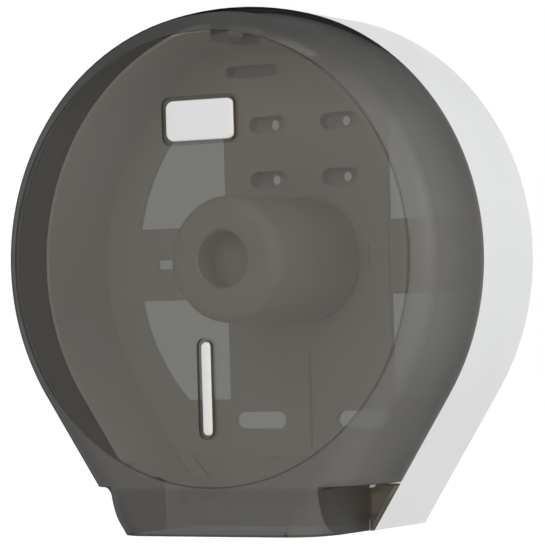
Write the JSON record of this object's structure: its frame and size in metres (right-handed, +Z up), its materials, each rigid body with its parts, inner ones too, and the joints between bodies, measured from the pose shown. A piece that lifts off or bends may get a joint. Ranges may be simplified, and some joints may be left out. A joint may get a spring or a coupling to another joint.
{
  "type": "jumbo toilet roll dispenser",
  "caption": "Wall dispenser for jumbo toilet rolls: keyhole-shaped white base, smoked drop-down cover with raised disc, turning core spool, toothed tear bar and key lock.",
  "frame": {"origin": "on the wall face of the base, on the axis of the core spool", "axes": "+X to the right seen from the front, +Y into the wall (front faces -Y), +Z up"},
  "size_m": [0.2754, 0.1241, 0.286],
  "materials": {
    "white_shell": "satin moulded",
    "smoked_cover": "polished, see-through smoke grey",
    "white_insert": "smooth",
    "white_spool": "moulded",
    "white_bar": "moulded",
    "spring_steel": "spring temper",
    "pin_steel": "turned",
    "screw_steel": "zinc plated",
    "lock_metal": "plated"
  },
  "bodies": {
    "base": {"rear_housing": "white_shell", "tear_bar": "white_bar", "hub_post": "white_shell", "spool_ring": "spring_steel", "hinge_cap_left": "smoked_cover", "hinge_cap_right": "smoked_cover", "hinge_pin_left": "pin_steel", "hinge_pin_right": "pin_steel", "tear_bar_screw_left": "screw_steel", "tear_bar_screw_right": "screw_steel", "lock_housing": "lock_metal", "lock_washer": "screw_steel", "lock_nut": "screw_steel"},
    "cover": {"front_cover": "smoked_cover", "badge_plate": "white_insert", "level_strip": "white_insert"},
    "spool": {"core_spool": "white_spool"},
    "lock": {"lock_barrel": "lock_metal", "lock_cam": "screw_steel", "lock_cam_screw": "screw_steel"}
  },
  "joints": [
    {"name": "cover_hinge", "type": "hinge", "parent": "base", "child": "cover", "pos_m": [0, -0.0566, -0.134], "axis": [1, 0, 0], "range_deg": [0, 90]},
    {"name": "spool_spin", "type": "hinge", "parent": "base", "child": "spool", "pos_m": [0, -0.06, 0], "axis": [0, -1, 0], "continuous": true},
    {"name": "lock_turn", "type": "hinge", "parent": "base", "child": "lock", "pos_m": [0, -0.0456, 0.13], "axis": [0, 0, -1], "range_deg": [0, 90]}
  ]
}
